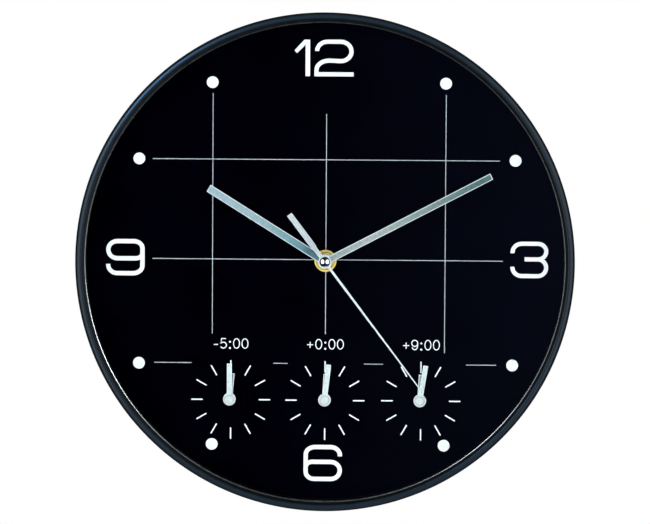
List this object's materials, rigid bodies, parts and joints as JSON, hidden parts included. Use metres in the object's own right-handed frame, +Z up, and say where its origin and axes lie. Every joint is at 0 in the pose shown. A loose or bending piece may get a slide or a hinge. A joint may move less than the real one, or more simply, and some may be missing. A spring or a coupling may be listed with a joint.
{
  "type": "world time wall clock",
  "caption": "Round wall clock with a large dial and a row of small dials for other time zones, each with its own hands and battery movement, behind flat glass in a slim rim.",
  "frame": {"origin": "centre of the round end of the keyhole in the hanger plate, in the plane of the wall", "axes": "+Z up the dial, -Y out of the wall towards the viewer, +X to the viewer's right; the wall is Y = 0"},
  "size_m": [0.3048, 0.0458, 0.3048],
  "materials": {
    "case_gloss": "black, satin gloss, smooth",
    "case_matt": "black, fine matt moulding",
    "clear_glass": "clear, polished",
    "dial_paint": "black, smooth satin paint",
    "steel": "zinc plated, fine grain",
    "spring_steel": "nickel plated, bright",
    "brass": "turned, polished",
    "rubber": "black, matt",
    "hand_metal": "brushed along the hand",
    "cap_chrome": "mirror polished",
    "magnet": "dark sintered magnet",
    "coil_copper": "enamelled copper wire",
    "board": "green laminate",
    "movement_black": "black moulding, fine texture",
    "movement_grey": "dark grey moulding, fine texture",
    "gear_plastic": "natural moulded plastic",
    "battery_can": "plain sleeve, satin"
  },
  "bodies": {
    "case": {"back_plate": "case_matt", "battery_contacts": "spring_steel", "bezel_ring": "case_gloss", "case_ring": "case_matt", "dial": "dial_paint", "dial_nut": "brass", "dial_washer": "brass", "front_glass": "clear_glass", "hanger_plate": "steel", "hanger_screws": "steel", "main_battery": "battery_can", "main_circuit_board": "board", "main_coil": "coil_copper", "main_movement_base": "movement_black", "main_movement_cover": "movement_grey", "main_stator": "steel", "main_train_bridge": "movement_grey", "movement_gasket": "rubber", "spacer_ring": "case_matt", "zone_left_battery": "battery_can", "zone_left_movement_base": "movement_black", "zone_left_movement_cover": "movement_grey", "zone_middle_battery": "battery_can", "zone_middle_movement_base": "movement_black", "zone_middle_movement_cover": "movement_grey", "zone_movement_screws": "steel", "zone_right_battery": "battery_can", "zone_right_movement_base": "movement_black", "zone_right_movement_cover": "movement_grey"},
    "main_seconds": {"second_hand": "hand_metal", "second_hand_cap": "cap_chrome", "main_second_wheel": "gear_plastic"},
    "main_third": {"main_third_wheel": "gear_plastic"},
    "main_centre": {"main_centre_wheel": "gear_plastic"},
    "main_step": {"main_step_wheel": "gear_plastic"},
    "main_magnet": {"main_rotor": "magnet"},
    "main_minutes": {"minute_hand": "hand_metal", "main_minute_arbor": "brass"},
    "main_hours": {"hour_hand": "hand_metal", "main_hour_wheel": "gear_plastic"},
    "main_setting": {"main_motion_wheel": "gear_plastic", "main_set_knob": "movement_grey"},
    "zone_left_minutes": {"zone_left_minute_hand": "hand_metal", "zone_left_minute_arbor": "brass"},
    "zone_left_hours": {"zone_left_hour_hand": "hand_metal", "zone_left_hour_wheel": "gear_plastic"},
    "zone_left_setting": {"zone_left_motion_wheel": "gear_plastic", "zone_left_set_knob": "movement_grey"},
    "zone_middle_minutes": {"zone_middle_minute_hand": "hand_metal", "zone_middle_minute_arbor": "brass"},
    "zone_middle_hours": {"zone_middle_hour_hand": "hand_metal", "zone_middle_hour_wheel": "gear_plastic"},
    "zone_middle_setting": {"zone_middle_motion_wheel": "gear_plastic", "zone_middle_set_knob": "movement_grey"},
    "zone_right_minutes": {"zone_right_minute_hand": "hand_metal", "zone_right_minute_arbor": "brass"},
    "zone_right_hours": {"zone_right_hour_hand": "hand_metal", "zone_right_hour_wheel": "gear_plastic"},
    "zone_right_setting": {"zone_right_motion_wheel": "gear_plastic", "zone_right_set_knob": "movement_grey"}
  },
  "joints": [
    {"name": "second_hand_turn", "type": "hinge", "parent": "case", "child": "main_seconds", "pos_m": [0, 0, -0.11797], "axis": [0, 1, 0], "continuous": true},
    {"name": "third_wheel_turn", "type": "hinge", "parent": "case", "child": "main_third", "pos_m": [-0.00957, 0, -0.11628], "axis": [0, 1, 0], "continuous": true},
    {"name": "centre_wheel_turn", "type": "hinge", "parent": "case", "child": "main_centre", "pos_m": [0, 0, -0.11797], "axis": [0, 1, 0], "continuous": true},
    {"name": "step_wheel_turn", "type": "hinge", "parent": "case", "child": "main_step", "pos_m": [0.00789, 0, -0.1151], "axis": [0, 1, 0], "continuous": true},
    {"name": "rotor_turn", "type": "hinge", "parent": "case", "child": "main_magnet", "pos_m": [0.01442, 0, -0.11205], "axis": [0, 1, 0], "continuous": true},
    {"name": "minute_hand_turn", "type": "hinge", "parent": "case", "child": "main_minutes", "pos_m": [0, 0, -0.11797], "axis": [0, 1, 0], "continuous": true},
    {"name": "hour_hand_turn", "type": "hinge", "parent": "case", "child": "main_hours", "pos_m": [0, 0, -0.11797], "axis": [0, 1, 0], "continuous": true},
    {"name": "setting_knob_turn", "type": "hinge", "parent": "case", "child": "main_setting", "pos_m": [-0.00091, 0, -0.10761], "axis": [0, 1, 0], "continuous": true},
    {"name": "zone_left_minute_turn", "type": "hinge", "parent": "case", "child": "zone_left_minutes", "pos_m": [-0.0585, 0, -0.20337], "axis": [0, 1, 0], "continuous": true},
    {"name": "zone_left_hour_turn", "type": "hinge", "parent": "case", "child": "zone_left_hours", "pos_m": [-0.0585, 0, -0.20337], "axis": [0, 1, 0], "continuous": true},
    {"name": "zone_left_knob_turn", "type": "hinge", "parent": "case", "child": "zone_left_setting", "pos_m": [-0.05941, 0, -0.19301], "axis": [0, 1, 0], "continuous": true},
    {"name": "zone_middle_minute_turn", "type": "hinge", "parent": "case", "child": "zone_middle_minutes", "pos_m": [0, 0, -0.20337], "axis": [0, 1, 0], "continuous": true},
    {"name": "zone_middle_hour_turn", "type": "hinge", "parent": "case", "child": "zone_middle_hours", "pos_m": [0, 0, -0.20337], "axis": [0, 1, 0], "continuous": true},
    {"name": "zone_middle_knob_turn", "type": "hinge", "parent": "case", "child": "zone_middle_setting", "pos_m": [-0.00091, 0, -0.19301], "axis": [0, 1, 0], "continuous": true},
    {"name": "zone_right_minute_turn", "type": "hinge", "parent": "case", "child": "zone_right_minutes", "pos_m": [0.0585, 0, -0.20337], "axis": [0, 1, 0], "continuous": true},
    {"name": "zone_right_hour_turn", "type": "hinge", "parent": "case", "child": "zone_right_hours", "pos_m": [0.0585, 0, -0.20337], "axis": [0, 1, 0], "continuous": true},
    {"name": "zone_right_knob_turn", "type": "hinge", "parent": "case", "child": "zone_right_setting", "pos_m": [0.05759, 0, -0.19301], "axis": [0, 1, 0], "continuous": true}
  ],
  "couplings": [
    {"joint": "third_wheel_turn", "follows": "second_hand_turn", "ratio": -0.13333},
    {"joint": "centre_wheel_turn", "follows": "second_hand_turn", "ratio": 0.016667},
    {"joint": "step_wheel_turn", "follows": "second_hand_turn", "ratio": -6},
    {"joint": "rotor_turn", "follows": "second_hand_turn", "ratio": 30},
    {"joint": "hour_hand_turn", "follows": "minute_hand_turn", "ratio": 0.083333},
    {"joint": "setting_knob_turn", "follows": "minute_hand_turn", "ratio": -0.33333},
    {"joint": "zone_left_hour_turn", "follows": "zone_left_minute_turn", "ratio": 0.083333},
    {"joint": "zone_left_knob_turn", "follows": "zone_left_minute_turn", "ratio": -0.33333},
    {"joint": "zone_middle_hour_turn", "follows": "zone_middle_minute_turn", "ratio": 0.083333},
    {"joint": "zone_middle_knob_turn", "follows": "zone_middle_minute_turn", "ratio": -0.33333},
    {"joint": "zone_right_hour_turn", "follows": "zone_right_minute_turn", "ratio": 0.083333},
    {"joint": "zone_right_knob_turn", "follows": "zone_right_minute_turn", "ratio": -0.33333}
  ]
}
